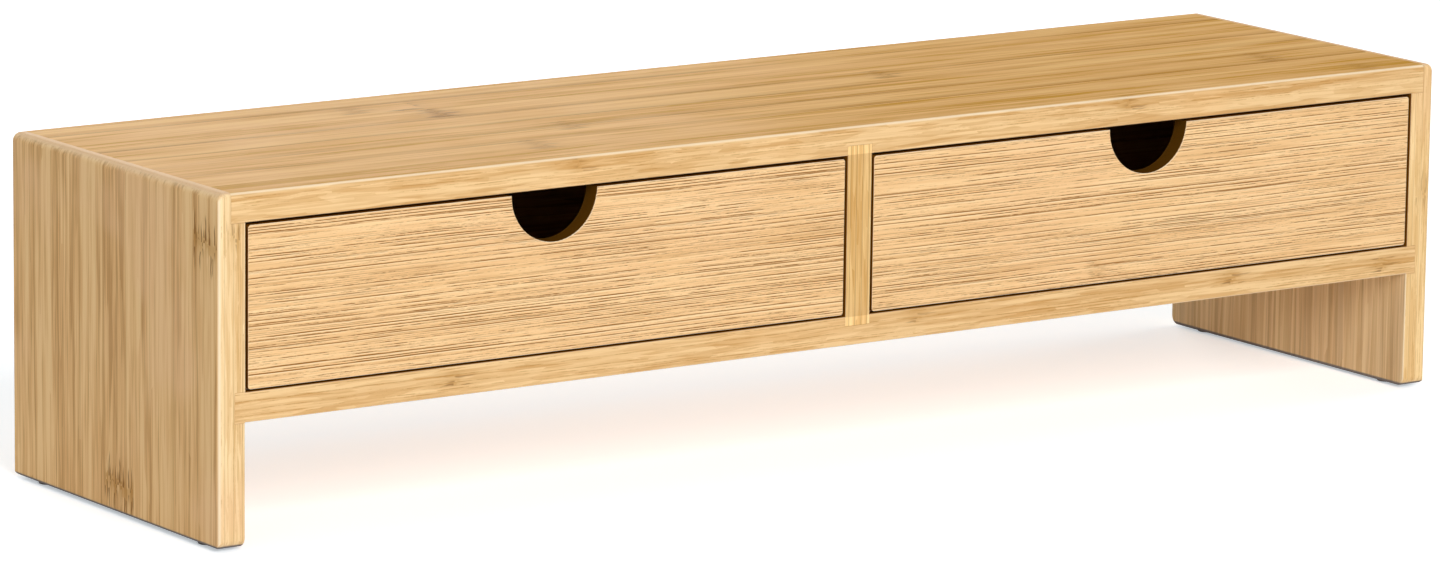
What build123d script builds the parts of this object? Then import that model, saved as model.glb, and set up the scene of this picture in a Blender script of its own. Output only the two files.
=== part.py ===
"""Bamboo monitor stand: a glued carcass on two panel legs, with two push-in drawers under its deck.

Millimetres. +X runs along the deck to the right, +Y into the depth, +Z up. The drawers open towards -Y.
The origin is on the desk, under the middle of the stand.
"""

import os

from build123d import *

# Overall size
STAND_WIDTH = 600.0
STAND_DEPTH = 160.0
STAND_HEIGHT = 140.0

# Carcass boards
SIDE_THICKNESS = 12.0
TOP_THICKNESS = 12.0
SHELF_THICKNESS = 12.0
DIVIDER_THICKNESS = 12.0
LEG_CLEAR_HEIGHT = 50.0  # from the desk to the underside of the shelf
TOP_LIP = 5.5  # what is left of each side, outside the end of the top
SHELF_HOUSING_DEPTH = 4.8  # how far the shelf is let into the sides
DIVIDER_HOUSING_DEPTH = 4.0  # how far the divider is let into the top and the shelf
GLUE_LINE = 0.1  # gap between two glued faces

# Rounding of the sanded carcass
DECK_END_RADIUS = 3.5
FACE_EDGE_RADIUS = 1.8
LEG_CORNER_RADIUS = 4.0
LEG_EDGE_RADIUS = 2.0
LEG_BAY_RADIUS = 0.8
OPENING_EASING = 0.3

# Back panel, held in grooves out of sight
BACK_THICKNESS = 3.0
BACK_INSET = 5.0  # from the rear edges to the back of the panel
BACK_GROOVE_DEPTH = 4.0

# Anti-slip pads under the legs
PAD_DIAMETER = 8.0
PAD_THICKNESS = 1.0
PAD_EDGE_DISTANCE = 18.0

# Drawer fronts and the gaps round them
FRONT_THICKNESS = 8.0
FRONT_SIDE_GAP = 1.2
FRONT_TOP_GAP = 1.2
FRONT_BOTTOM_GAP = 0.8
FRONT_CORNER_RADIUS = 1.2
FRONT_EASING = 0.4
NOTCH_RADIUS = 20.0
NOTCH_DEPTH = 20.0

# Drawer boxes, hidden behind their fronts when shut
BOX_SIDE_THICKNESS = 8.0
BOX_BACK_THICKNESS = 8.0
BOX_HEADROOM = 11.8  # between the box sides and the underside of the deck
BOX_INSET = 0.5  # the box sides stand in from the ends of the front
FRONT_LAP = 5.0  # how far the sides are lapped into the front
RUN_CLEARANCE = 0.2  # under the box sides, which slide on the shelf
REAR_CLEARANCE = 0.3  # between a shut drawer and the back panel that stops it
FINGER_COUNT = 5
BOX_EASING = 0.6

# Drawer bottoms
BOTTOM_THICKNESS = 3.0
BOTTOM_GROOVE_DEPTH = 4.0
BOTTOM_LIFT = 5.0  # from the lower edge of the box sides to the drawer bottom

# Steel brads through the lapped front corners
BRAD_DIAMETER = 1.2
BRAD_LENGTH = 18.0
BRAD_HEAD_DIAMETER = 2.0
BRAD_HEAD_HEIGHT = 0.6
BRAD_CLEARANCE = 0.05
BRAD_ROWS = 2

# Levels and planes that the carcass pieces share
HALF_WIDTH = STAND_WIDTH / 2
HALF_DEPTH = STAND_DEPTH / 2
WOOD_HEIGHT = STAND_HEIGHT - PAD_THICKNESS
SHELF_TOP = LEG_CLEAR_HEIGHT + SHELF_THICKNESS
DECK_UNDERSIDE = STAND_HEIGHT - TOP_THICKNESS
INNER_HALF_WIDTH = HALF_WIDTH - SIDE_THICKNESS
BACK_REAR_Y = HALF_DEPTH - BACK_INSET
BACK_FRONT_Y = BACK_REAR_Y - BACK_THICKNESS
BAY_WIDTH = INNER_HALF_WIDTH - DIVIDER_THICKNESS / 2
BAY_CENTRE_X = (INNER_HALF_WIDTH + DIVIDER_THICKNESS / 2) / 2

# Levels and planes of a drawer, drawn round X = 0
FRONT_HALF_WIDTH = BAY_WIDTH / 2 - FRONT_SIDE_GAP
FRONT_BOTTOM_Z = SHELF_TOP + FRONT_BOTTOM_GAP
FRONT_TOP_Z = DECK_UNDERSIDE - FRONT_TOP_GAP
FRONT_FACE_Y = -HALF_DEPTH
FRONT_BACK_Y = FRONT_FACE_Y + FRONT_THICKNESS
LAP_Y = FRONT_BACK_Y - FRONT_LAP
BOX_HALF_WIDTH = FRONT_HALF_WIDTH - BOX_INSET
BOX_INNER_HALF_WIDTH = BOX_HALF_WIDTH - BOX_SIDE_THICKNESS
BOX_BOTTOM_Z = SHELF_TOP + RUN_CLEARANCE
BOX_TOP_Z = DECK_UNDERSIDE - BOX_HEADROOM
BOX_SIDE_HEIGHT = BOX_TOP_Z - BOX_BOTTOM_Z
BOX_REAR_Y = BACK_FRONT_Y - REAR_CLEARANCE
BOX_BACK_Y = BOX_REAR_Y - BOX_BACK_THICKNESS
BOTTOM_Z = BOX_BOTTOM_Z + BOTTOM_LIFT


def block(x_range, y_range, z_range):
    """A box between two coordinates on each axis."""
    ranges = (x_range, y_range, z_range)
    size = [high - low for low, high in ranges]
    centre = [(low + high) / 2 for low, high in ranges]
    return Pos(*centre) * Box(*size)


def mirrored(solid, side):
    """The solid as drawn for side +1, or its mirror image for side -1."""
    return solid if side > 0 else solid.mirror(Plane.YZ)


def near(value, target):
    """Whether two coordinates are the same."""
    return abs(value - target) < 1e-3


def rounded_prism(plane, width, length, upper, radius):
    """A prism as high as the wood, rounded along its two upper or its two lower corners."""
    outline = plane * Pos(0, PAD_THICKNESS + WOOD_HEIGHT / 2) * Rectangle(width, WOOD_HEIGHT)
    corners = outline.vertices().group_by(Axis.Z)[-1 if upper else 0]
    return extrude(fillet(corners, radius), length / 2, both=True)


def rounded_block():
    """The outside of the sanded carcass, before its openings."""
    solid = rounded_prism(Plane.XZ, STAND_WIDTH, STAND_DEPTH, True, DECK_END_RADIUS)
    face_edges = [
        edge
        for edge in solid.edges()
        if near(abs(edge.center().Y), HALF_DEPTH) and not near(edge.center().Z, PAD_THICKNESS)
    ]
    solid = solid.fillet(FACE_EDGE_RADIUS, face_edges)
    solid &= rounded_prism(Plane.XZ, STAND_WIDTH, STAND_DEPTH, False, LEG_EDGE_RADIUS)
    solid &= rounded_prism(Plane.YZ, STAND_DEPTH, STAND_WIDTH, False, LEG_CORNER_RADIUS)
    return solid


def bay_edges(solid):
    """The edges of the space between the legs: round the inner leg faces and along the shelf."""
    found = []
    for face in solid.faces():
        centre = face.center()
        if near(abs(centre.X), INNER_HALF_WIDTH) and centre.Z < LEG_CLEAR_HEIGHT:
            found += [edge for edge in face.edges() if not near(edge.center().Z, LEG_CLEAR_HEIGHT)]
        elif near(centre.Z, LEG_CLEAR_HEIGHT):
            found += face.edges().filter_by(Axis.X)
    return found


def sanded_carcass():
    """The glued carcass as if it were one block, so that its roundings run across the joints."""
    whole_depth = (-HALF_DEPTH, HALF_DEPTH)
    inner_width = (-INNER_HALF_WIDTH, INNER_HALF_WIDTH)
    opening_height = (SHELF_TOP, DECK_UNDERSIDE)
    solid = rounded_block()
    solid -= block(inner_width, whole_depth, (0, LEG_CLEAR_HEIGHT))
    solid -= block(inner_width, (BACK_REAR_Y, HALF_DEPTH), opening_height)
    for side in (-1, 1):
        bay = block((DIVIDER_THICKNESS / 2, INNER_HALF_WIDTH), whole_depth, opening_height)
        solid -= mirrored(bay, side)
    mouth_edges = [
        edge
        for face in solid.faces()
        if near(abs(face.center().Y), HALF_DEPTH)
        for wire in face.inner_wires()
        for edge in wire.edges()
    ]
    solid = solid.fillet(OPENING_EASING, mouth_edges)
    return solid.fillet(LEG_BAY_RADIUS, bay_edges(solid))


def back_groove():
    """The groove for the back panel, cut into all four boards round it."""
    return block(
        (-INNER_HALF_WIDTH - BACK_GROOVE_DEPTH, INNER_HALF_WIDTH + BACK_GROOVE_DEPTH),
        (BACK_FRONT_Y - GLUE_LINE, BACK_REAR_Y + GLUE_LINE),
        (SHELF_TOP - BACK_GROOVE_DEPTH, DECK_UNDERSIDE + BACK_GROOVE_DEPTH),
    )


def divider_housing():
    """The room for the divider in the top and the shelf, from the front edge to the back panel."""
    half_thickness = DIVIDER_THICKNESS / 2 + GLUE_LINE
    return block(
        (-half_thickness, half_thickness),
        (-HALF_DEPTH, BACK_FRONT_Y),
        (SHELF_TOP - DIVIDER_HOUSING_DEPTH, DECK_UNDERSIDE + DIVIDER_HOUSING_DEPTH),
    )


def side_panel(side, carcass):
    """A side with its leg, its rebate for the top and its housing for the shelf."""
    whole_depth = (-HALF_DEPTH, HALF_DEPTH)
    slab = block((INNER_HALF_WIDTH, HALF_WIDTH), whole_depth, (PAD_THICKNESS, STAND_HEIGHT))
    rebate = block(
        (INNER_HALF_WIDTH, HALF_WIDTH - TOP_LIP),
        whole_depth,
        (DECK_UNDERSIDE - GLUE_LINE, STAND_HEIGHT),
    )
    housing = block(
        (INNER_HALF_WIDTH, INNER_HALF_WIDTH + SHELF_HOUSING_DEPTH),
        whole_depth,
        (LEG_CLEAR_HEIGHT - GLUE_LINE, SHELF_TOP + GLUE_LINE),
    )
    panel = (slab & carcass) - rebate - housing - back_groove()
    return mirrored(panel, side)


def top_panel(carcass):
    """The deck, lapped into both sides and housed below for the divider."""
    half_length = HALF_WIDTH - TOP_LIP - GLUE_LINE
    slab = block(
        (-half_length, half_length),
        (-HALF_DEPTH, HALF_DEPTH),
        (DECK_UNDERSIDE, STAND_HEIGHT),
    )
    return (slab & carcass) - divider_housing() - back_groove()


def shelf_panel(carcass):
    """The board that the drawers slide on, housed in both sides."""
    half_length = INNER_HALF_WIDTH + SHELF_HOUSING_DEPTH - GLUE_LINE
    slab = block(
        (-half_length, half_length),
        (-HALF_DEPTH, HALF_DEPTH),
        (LEG_CLEAR_HEIGHT, SHELF_TOP),
    )
    return (slab & carcass) - divider_housing() - back_groove()


def centre_divider(carcass):
    """The upright between the two drawers."""
    reach = DIVIDER_HOUSING_DEPTH - GLUE_LINE
    slab = block(
        (-DIVIDER_THICKNESS / 2, DIVIDER_THICKNESS / 2),
        (-HALF_DEPTH, BACK_FRONT_Y - GLUE_LINE),
        (SHELF_TOP - reach, DECK_UNDERSIDE + reach),
    )
    return slab & carcass


def back_panel():
    """The thin panel behind both drawers, which also stops them."""
    reach = BACK_GROOVE_DEPTH - GLUE_LINE
    return block(
        (-INNER_HALF_WIDTH - reach, INNER_HALF_WIDTH + reach),
        (BACK_FRONT_Y, BACK_REAR_Y),
        (SHELF_TOP - reach, DECK_UNDERSIDE + reach),
    )


def foot_pad(side, end):
    """A round pad under a leg: side is -1 or +1 along X, end is -1 or +1 along Y."""
    pad_x = HALF_WIDTH - SIDE_THICKNESS / 2
    pad_y = HALF_DEPTH - PAD_EDGE_DISTANCE
    pad = Cylinder(PAD_DIAMETER / 2, PAD_THICKNESS)
    return Pos(side * pad_x, end * pad_y, PAD_THICKNESS / 2) * pad


def finger_notch():
    """The half-round finger pull, cut down from the upper edge of a front."""
    centre_z = FRONT_TOP_Z - NOTCH_DEPTH + NOTCH_RADIUS
    centre_y = (FRONT_FACE_Y + FRONT_BACK_Y) / 2
    hole = Pos(0, centre_y, centre_z) * Rot(90, 0, 0) * Cylinder(NOTCH_RADIUS, FRONT_THICKNESS)
    mouth = block(
        (-NOTCH_RADIUS, NOTCH_RADIUS),
        (FRONT_FACE_Y, FRONT_BACK_Y),
        (centre_z, centre_z + NOTCH_RADIUS),
    )
    return hole + mouth


def bottom_groove():
    """The groove round the inside of a drawer that holds its bottom."""
    reach_x = BOX_INNER_HALF_WIDTH + BOTTOM_GROOVE_DEPTH
    return block(
        (-reach_x, reach_x),
        (FRONT_BACK_Y - BOTTOM_GROOVE_DEPTH, BOX_BACK_Y + BOTTOM_GROOVE_DEPTH),
        (BOTTOM_Z - GLUE_LINE, BOTTOM_Z + BOTTOM_THICKNESS + GLUE_LINE),
    )


def brad(clearance):
    """One brad, driven along -X from the outer face of the right box side."""
    solids = []
    for radius, length in (
        (BRAD_DIAMETER / 2, BRAD_LENGTH),
        (BRAD_HEAD_DIAMETER / 2, BRAD_HEAD_HEIGHT),
    ):
        reach = length + clearance
        rod = Rot(0, 90, 0) * Cylinder(radius + clearance, reach)
        solids.append(Pos(BOX_HALF_WIDTH - reach / 2, 0, 0) * rod)
    return solids[0] + solids[1]


def brads(clearance):
    """The brads of one drawer, spread evenly above its bottom: the steel, or its holes if wider."""
    lap_middle_y = (LAP_Y + FRONT_BACK_Y) / 2
    lowest = BOTTOM_Z + BOTTOM_THICKNESS
    pitch = (BOX_TOP_Z - lowest) / BRAD_ROWS
    return [
        mirrored(Pos(0, lap_middle_y, lowest + (row + 0.5) * pitch) * brad(clearance), side)
        for side in (-1, 1)
        for row in range(BRAD_ROWS)
    ]


def drawer_front():
    """A front with its notch, its eased face, the laps for the sides and the bottom's groove."""
    front = block(
        (-FRONT_HALF_WIDTH, FRONT_HALF_WIDTH),
        (FRONT_FACE_Y, FRONT_BACK_Y),
        (FRONT_BOTTOM_Z, FRONT_TOP_Z),
    )
    front = front.fillet(FRONT_CORNER_RADIUS, front.edges().filter_by(Axis.Y))
    front -= finger_notch()
    face_edges = [edge for edge in front.edges() if near(edge.center().Y, FRONT_FACE_Y)]
    front = front.fillet(FRONT_EASING, face_edges)
    lap = block(
        (BOX_INNER_HALF_WIDTH - GLUE_LINE, FRONT_HALF_WIDTH),
        (LAP_Y, FRONT_BACK_Y),
        (FRONT_BOTTOM_Z, FRONT_TOP_Z),
    )
    front -= [mirrored(lap, side) for side in (-1, 1)]
    front -= brads(BRAD_CLEARANCE)
    return front - bottom_groove()


def back_fingers():
    """The heights of the corner fingers that belong to a drawer's back: every second one."""
    pitch = BOX_SIDE_HEIGHT / FINGER_COUNT
    return [
        (BOX_BOTTOM_Z + index * pitch, BOX_BOTTOM_Z + (index + 1) * pitch)
        for index in range(1, FINGER_COUNT, 2)
    ]


def eased_above(panel, axis):
    """A box panel with its upper edges along an axis rounded."""
    upper_edges = [
        edge for edge in panel.edges().filter_by(axis) if near(edge.center().Z, BOX_TOP_Z)
    ]
    return panel.fillet(BOX_EASING, upper_edges)


def box_side(side):
    """A drawer side, lapped into the front and finger jointed to the back."""
    width = (BOX_INNER_HALF_WIDTH, BOX_HALF_WIDTH)
    panel = block(width, (LAP_Y + GLUE_LINE, BOX_REAR_Y), (BOX_BOTTOM_Z, BOX_TOP_Z))
    panel = eased_above(panel, Axis.Y)
    for low, high in back_fingers():
        panel -= block(width, (BOX_BACK_Y - GLUE_LINE, BOX_REAR_Y), (low - GLUE_LINE, high + GLUE_LINE))
    panel -= [hole for hole in brads(BRAD_CLEARANCE) if hole.center().X > 0]
    return mirrored(panel - bottom_groove(), side)


def box_back():
    """A drawer back, whose fingers reach through both sides."""
    depth = (BOX_BACK_Y, BOX_REAR_Y)
    half_length = BOX_INNER_HALF_WIDTH - GLUE_LINE
    panel = block((-half_length, half_length), depth, (BOX_BOTTOM_Z, BOX_TOP_Z))
    panel = eased_above(panel, Axis.X)
    for low, high in back_fingers():
        panel += block((-BOX_HALF_WIDTH, BOX_HALF_WIDTH), depth, (low, high))
    return panel - bottom_groove()


def box_bottom():
    """A drawer bottom, let into the front, the sides and the back."""
    reach = BOTTOM_GROOVE_DEPTH - GLUE_LINE
    return block(
        (-BOX_INNER_HALF_WIDTH - reach, BOX_INNER_HALF_WIDTH + reach),
        (FRONT_BACK_Y - reach, BOX_BACK_Y + reach),
        (BOTTOM_Z, BOTTOM_Z + BOTTOM_THICKNESS),
    )


def carcass_pieces():
    """The glued carcass and its pads, by name."""
    carcass = sanded_carcass()
    named = {
        "top_panel": top_panel(carcass),
        "left_side_panel": side_panel(-1, carcass),
        "right_side_panel": side_panel(1, carcass),
        "drawer_shelf": shelf_panel(carcass),
        "centre_divider": centre_divider(carcass),
        "back_panel": back_panel(),
    }
    for end_name, end in (("front", -1), ("rear", 1)):
        for side_name, side in (("left", -1), ("right", 1)):
            named[f"{end_name}_{side_name}_pad"] = foot_pad(side, end)
    return named


def drawer_pieces(name, centre_x):
    """One drawer, set into its bay."""
    drawn = {
        "front": drawer_front(),
        "left_side": box_side(-1),
        "right_side": box_side(1),
        "back": box_back(),
        "bottom": box_bottom(),
        "brads": Compound(brads(0.0)),
    }
    return {
        f"{name}_drawer_{piece}": Pos(centre_x, 0, 0) * shape for piece, shape in drawn.items()
    }


pieces = carcass_pieces()
pieces.update(drawer_pieces("left", -BAY_CENTRE_X))
pieces.update(drawer_pieces("right", BAY_CENTRE_X))

os.makedirs("parts", exist_ok=True)
for piece_name, piece_shape in pieces.items():
    export_step(piece_shape, f"parts/{piece_name}.step")
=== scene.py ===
"""The looks of a bamboo monitor stand: lacquered bamboo boards, rubber feet and steel brads in a pale studio.

Metres, in the frame's own axes: +X right along the deck, +Y towards the back, +Z up.
"""

import math

import bmesh
import bpy
from mathutils import Matrix, Vector


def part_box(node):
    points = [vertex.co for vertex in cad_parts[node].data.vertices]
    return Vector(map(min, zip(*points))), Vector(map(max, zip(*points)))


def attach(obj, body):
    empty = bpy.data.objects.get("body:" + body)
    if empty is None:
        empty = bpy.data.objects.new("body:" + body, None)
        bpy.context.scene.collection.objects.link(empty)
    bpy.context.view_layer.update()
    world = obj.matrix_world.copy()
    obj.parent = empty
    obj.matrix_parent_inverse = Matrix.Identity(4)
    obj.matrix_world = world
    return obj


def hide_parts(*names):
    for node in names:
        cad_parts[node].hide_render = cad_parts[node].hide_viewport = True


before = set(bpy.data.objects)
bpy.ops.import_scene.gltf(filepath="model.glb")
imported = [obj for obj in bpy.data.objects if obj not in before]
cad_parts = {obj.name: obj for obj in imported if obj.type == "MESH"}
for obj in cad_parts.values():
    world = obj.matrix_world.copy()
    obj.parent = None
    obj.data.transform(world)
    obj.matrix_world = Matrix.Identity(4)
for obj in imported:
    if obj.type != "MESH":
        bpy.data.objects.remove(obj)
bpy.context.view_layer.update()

# Camera: turned to the stand's left end, looking down, with a small roll
CAMERA_POSITION = (-1.7190, -2.4561, 0.6501)
CAMERA_YAW = 34.796
CAMERA_PITCH = 11.119
CAMERA_ROLL = 0.721
CAMERA_LENS = 185.04
SENSOR_WIDTH = 36.0

# Bamboo as it is sawn: strips side by side, in layers
STRIP_WIDTH = 0.019
LAYER_THICKNESS = 0.004
LAYER_START = 0.0013
KNUCKLE_COLUMN = 0.0010
KNUCKLE_DEPTH = 0.003

# Wood colours, linear
PALE_WOOD = (0.90, 0.62, 0.31)
MID_WOOD = (0.80, 0.50, 0.225)
DEEP_WOOD = (0.58, 0.33, 0.13)
DEEP_DECK_WOOD = (0.61, 0.34, 0.045)
PINK_WOOD = (0.92, 0.60, 0.34)
NARROW_PALE = (0.95, 0.69, 0.37)
NARROW_DEEP = (0.70, 0.42, 0.165)
STREAK_BROWN = (0.42, 0.185, 0.016)
END_GRAIN_CREAM = (0.90, 0.61, 0.35)
END_GRAIN_DOT = (0.58, 0.34, 0.15)
DASH_BROWN = (0.30, 0.125, 0.024)
# Painted highlight: the cream line below each sawn dash
RIDGE_HIGHLIGHT_CREAM = (1.0, 0.78, 0.48)
KNUCKLE_BROWN = (0.21, 0.088, 0.020)
GLUE_BROWN = (0.45, 0.26, 0.10)
# Painted highlight on the rounded edges
ROUNDING_HIGHLIGHT_PALE = (1.0, 0.83, 0.58)
# Dark brown: on the drawer fronts' cut edges partly scorched wood and partly painted shade, on the walls
# inside the bays painted shade
PAINTED_SHADE_BROWN = (0.24, 0.085, 0.006)
# Darker still in the finger notches: scorched wood with painted shade over it
NOTCH_SHADE_BROWN = (0.115, 0.046, 0.004)
# Painted contact shadow at the legs' lower ends
FOOT_SHADOW_GREY = (0.14, 0.14, 0.16)
# Painted light: paler, greyer wood on the legs' inner faces under the shelf; its stripes are grain
PAINTED_LIGHT_WOOD = (0.82, 0.72, 0.50)
PAINTED_LIGHT_DEEP_WOOD = (0.47, 0.38, 0.24)

# Rows of sawn fibre bundles: their pitch, how long and thick they are, an extra seed and their weight
SAWN_ROWS = (
    (0.0008, 0.006, 0.00034, 80.0, 0.45),
    (0.0011, 0.020, 0.00042, 0.0, 1.0),
    (0.0021, 0.050, 0.00046, 40.0, 0.85),
)

# Which row axis lies along the grain, across the board's face and through its thickness
GRAIN_X_FACE_Z = ("X", "Y", "Z")
GRAIN_X_FACE_Y = ("X", "Z", "Y")
GRAIN_Z_FACE_X = ("Z", "Y", "X")
GRAIN_Y_FACE_X = ("Y", "Z", "X")

# The drawer bays inside the carcass: what lies between these gets painted shade, and the legs' inner faces
# below them get painted light
BAY_HALF_WIDTH = 0.2881
BAY_FLOOR = 0.0619
BAY_CEILING = 0.1281
BAY_FRONT = -0.0798

# Painted contact shadow, grey, on the lower ends of the legs: its height above the floor, and how far it
# fades
FOOT_SHADOW_HEIGHT = 0.0020
FOOT_SHADOW_FADE = 0.0007

# The finger notches: sideways from the middle and up, and their radius
NOTCH_CENTRE = (0.147, 0.1268)
NOTCH_RADIUS = 0.020

# Reeds of the bamboo: how long and how wide they are
WIDE_REEDS = {"length": 0.13, "width": 0.0042}
FINE_REEDS = {"length": 0.07, "width": 0.0016}
SHORT_EDGE_REEDS = {"length": 0.016, "width": 0.0009}
LONG_EDGE_REEDS = {"length": 0.050, "width": 0.0022}
LEG_STRIPES = {"length": 0.09, "width": 0.0022}

# Fibres of the bamboo: how many per metre along, across and through the board
FIBRE_SCALES = (
    ("Bands", (8.0, 150.0, 150.0)),
    ("Lines", (18.0, 800.0, 800.0)),
    ("Hairs", (40.0, 1700.0, 1700.0)),
)

# Short dark flecks on the narrow edges
EDGE_FLECKS = {"pitch": 0.0011, "length": 0.012, "thickness": 0.0004, "density": 0.55}

# How much the sawn rows crowd together in places, and how much some rows have more dashes than others
DASH_CROWDING = 0.60
ROW_LIKING = 0.22
# How strongly the painted highlight below each dash shows
RIDGE_HIGHLIGHT_SHARE = 0.6

# Depth of the relief in the wood, the rubber and the steel
WOOD_RELIEF = 0.0003
RUBBER_RELIEF = 0.0001
STEEL_RELIEF = 0.00005

# Rubber and steel, linear
RUBBER_DARK = (0.085, 0.08, 0.078)
RUBBER_DUSTY = (0.13, 0.125, 0.12)
STEEL_DULL = (0.50, 0.49, 0.47)
STEEL_BRIGHT = (0.68, 0.67, 0.65)

# The rubber feet: rim and groove as shares of the height, and where the grooves start on the radius
PAD_RIM_SHARE = 0.3
PAD_GROOVE_SHARE = 0.25
PAD_GROOVE_STARTS = (0.35, 0.62)
PAD_SEGMENTS = 64
PAD_RIM_STEPS = 5

# The studio: its floor, its even light, and its lamps by name, place, target, size in metres and watts
FLOOR_RADIUS = 12.0
FLOOR_DROP = 0.00005
FLOOR_ALBEDO = (0.92, 0.92, 0.92, 1.0)
FLOOR_GLOW = (0.88, 0.95, 1.0, 1.0)
FLOOR_GLOW_STRENGTH = 0.48
WORLD_LEVEL = 0.22
DECK_AIM = (-0.1, 0.0, 0.14)
LAMPS = (
    ("front_key", (-0.7, -3.2, 2.0), (0.0, 0.0, 0.08), 1.6, 91.0),
    ("left_fill", (-2.8, -1.6, 0.45), (0.1, 0.0, 0.05), 1.0, 13.0),
    ("back_left_fill", (-0.4, 2.4, 0.9), DECK_AIM, 1.2, 18.0),
    ("back_sheen", (1.3, 3.0, 0.8), DECK_AIM, 1.3, 41.0),
    ("right_fill", (3.0, 0.3, 0.7), (0.1, 0.0, 0.08), 1.4, 34.0),
)

FLOAT = "NodeSocketFloat"
VECTOR = "NodeSocketVector"


def add_node(tree, kind, inputs=None, **settings):
    """One node with its settings, and its inputs linked or set."""
    made = tree.nodes.new(kind)
    for key, value in settings.items():
        setattr(made, key, value)
    for key, value in (inputs or {}).items():
        if isinstance(value, bpy.types.NodeSocket):
            tree.links.new(value, made.inputs[key])
        else:
            made.inputs[key].default_value = value
    return made


def compute(tree, operation, *values, clamp=False):
    """The output of one math node."""
    inputs = dict(enumerate(values))
    return add_node(tree, "ShaderNodeMath", inputs, operation=operation, use_clamp=clamp).outputs[0]


def vector_math(tree, operation, *values):
    """The vector that one vector math node gives."""
    inputs = dict(enumerate(values))
    return add_node(tree, "ShaderNodeVectorMath", inputs, operation=operation).outputs[0]


def remap(tree, value, low, high, to_low=0.0, to_high=1.0):
    """A value brought smoothly from one range to another, and held at its ends."""
    inputs = {"Value": value, "From Min": low, "From Max": high, "To Min": to_low, "To Max": to_high}
    made = add_node(tree, "ShaderNodeMapRange", inputs, interpolation_type="SMOOTHSTEP")
    return made.outputs["Result"]


def split(tree, vector):
    """The X, Y and Z of a vector."""
    return add_node(tree, "ShaderNodeSeparateXYZ", {0: vector}).outputs


def join(tree, *parts):
    """A vector of up to three parts."""
    return add_node(tree, "ShaderNodeCombineXYZ", dict(enumerate(parts))).outputs[0]


def scatter(tree, *parts):
    """A random value that stays the same for the same whole numbers."""
    inputs = {"Vector": join(tree, *parts)}
    return add_node(tree, "ShaderNodeTexWhiteNoise", inputs, noise_dimensions="3D").outputs["Value"]


def mix_colour(tree, share, first, second):
    """The first colour, turning to the second as the share goes to one."""
    made = add_node(tree, "ShaderNodeMix", data_type="RGBA")
    for index, value in {0: share, 6: first, 7: second}.items():
        if isinstance(value, bpy.types.NodeSocket):
            tree.links.new(value, made.inputs[index])
        elif index == 0:
            made.inputs[index].default_value = value
        else:
            made.inputs[index].default_value = (*value, 1.0)
    return made.outputs[2]


def stretched_noise(tree, board, scale, seed, detail=2.0):
    """Noise on the board's own axes, scaled per metre along, across and through it."""
    offset = join(tree, seed, seed, seed)
    moved = vector_math(tree, "ADD", vector_math(tree, "MULTIPLY", board, scale), offset)
    inputs = {"Vector": moved, "Scale": 1.0, "Detail": detail, "Roughness": 0.55}
    return add_node(tree, "ShaderNodeTexNoise", inputs).outputs["Fac"]


def effect_group(name, inputs, outputs):
    """An empty shader group with its sockets: the tree, its inputs and its output node."""
    tree = bpy.data.node_groups.new(name, "ShaderNodeTree")
    for label, kind, default in inputs:
        socket = tree.interface.new_socket(name=label, in_out="INPUT", socket_type=kind)
        if default is not None:
            socket.default_value = default
    for label, kind in outputs:
        tree.interface.new_socket(name=label, in_out="OUTPUT", socket_type=kind)
    return tree, tree.nodes.new("NodeGroupInput").outputs, tree.nodes.new("NodeGroupOutput").inputs


def drift_group():
    """The board's axes with the grain wandering a little from side to side, as it grew."""
    tree, given, out = effect_group(
        "grain_drift",
        [("Board", VECTOR, None), ("Amount", FLOAT, 0.0010), ("Seed", FLOAT, 0.0)],
        [("Board", VECTOR)],
    )
    slow = stretched_noise(tree, given["Board"], (9.0, 28.0, 28.0), given["Seed"], 1.0)
    quick = stretched_noise(tree, given["Board"], (28.0, 150.0, 150.0), given["Seed"], 1.0)
    sway = compute(tree, "SUBTRACT", slow, 0.5)
    sway = compute(tree, "MULTIPLY_ADD", compute(tree, "SUBTRACT", quick, 0.5), 0.35, sway)
    sway = compute(tree, "MULTIPLY", sway, compute(tree, "MULTIPLY", given["Amount"], 4.0))
    parts = split(tree, given["Board"])
    across = compute(tree, "ADD", parts["Y"], sway)
    through = compute(tree, "MULTIPLY_ADD", sway, 0.1, parts["Z"])
    tree.links.new(join(tree, parts["X"], across, through), out["Board"])
    return tree


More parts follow.
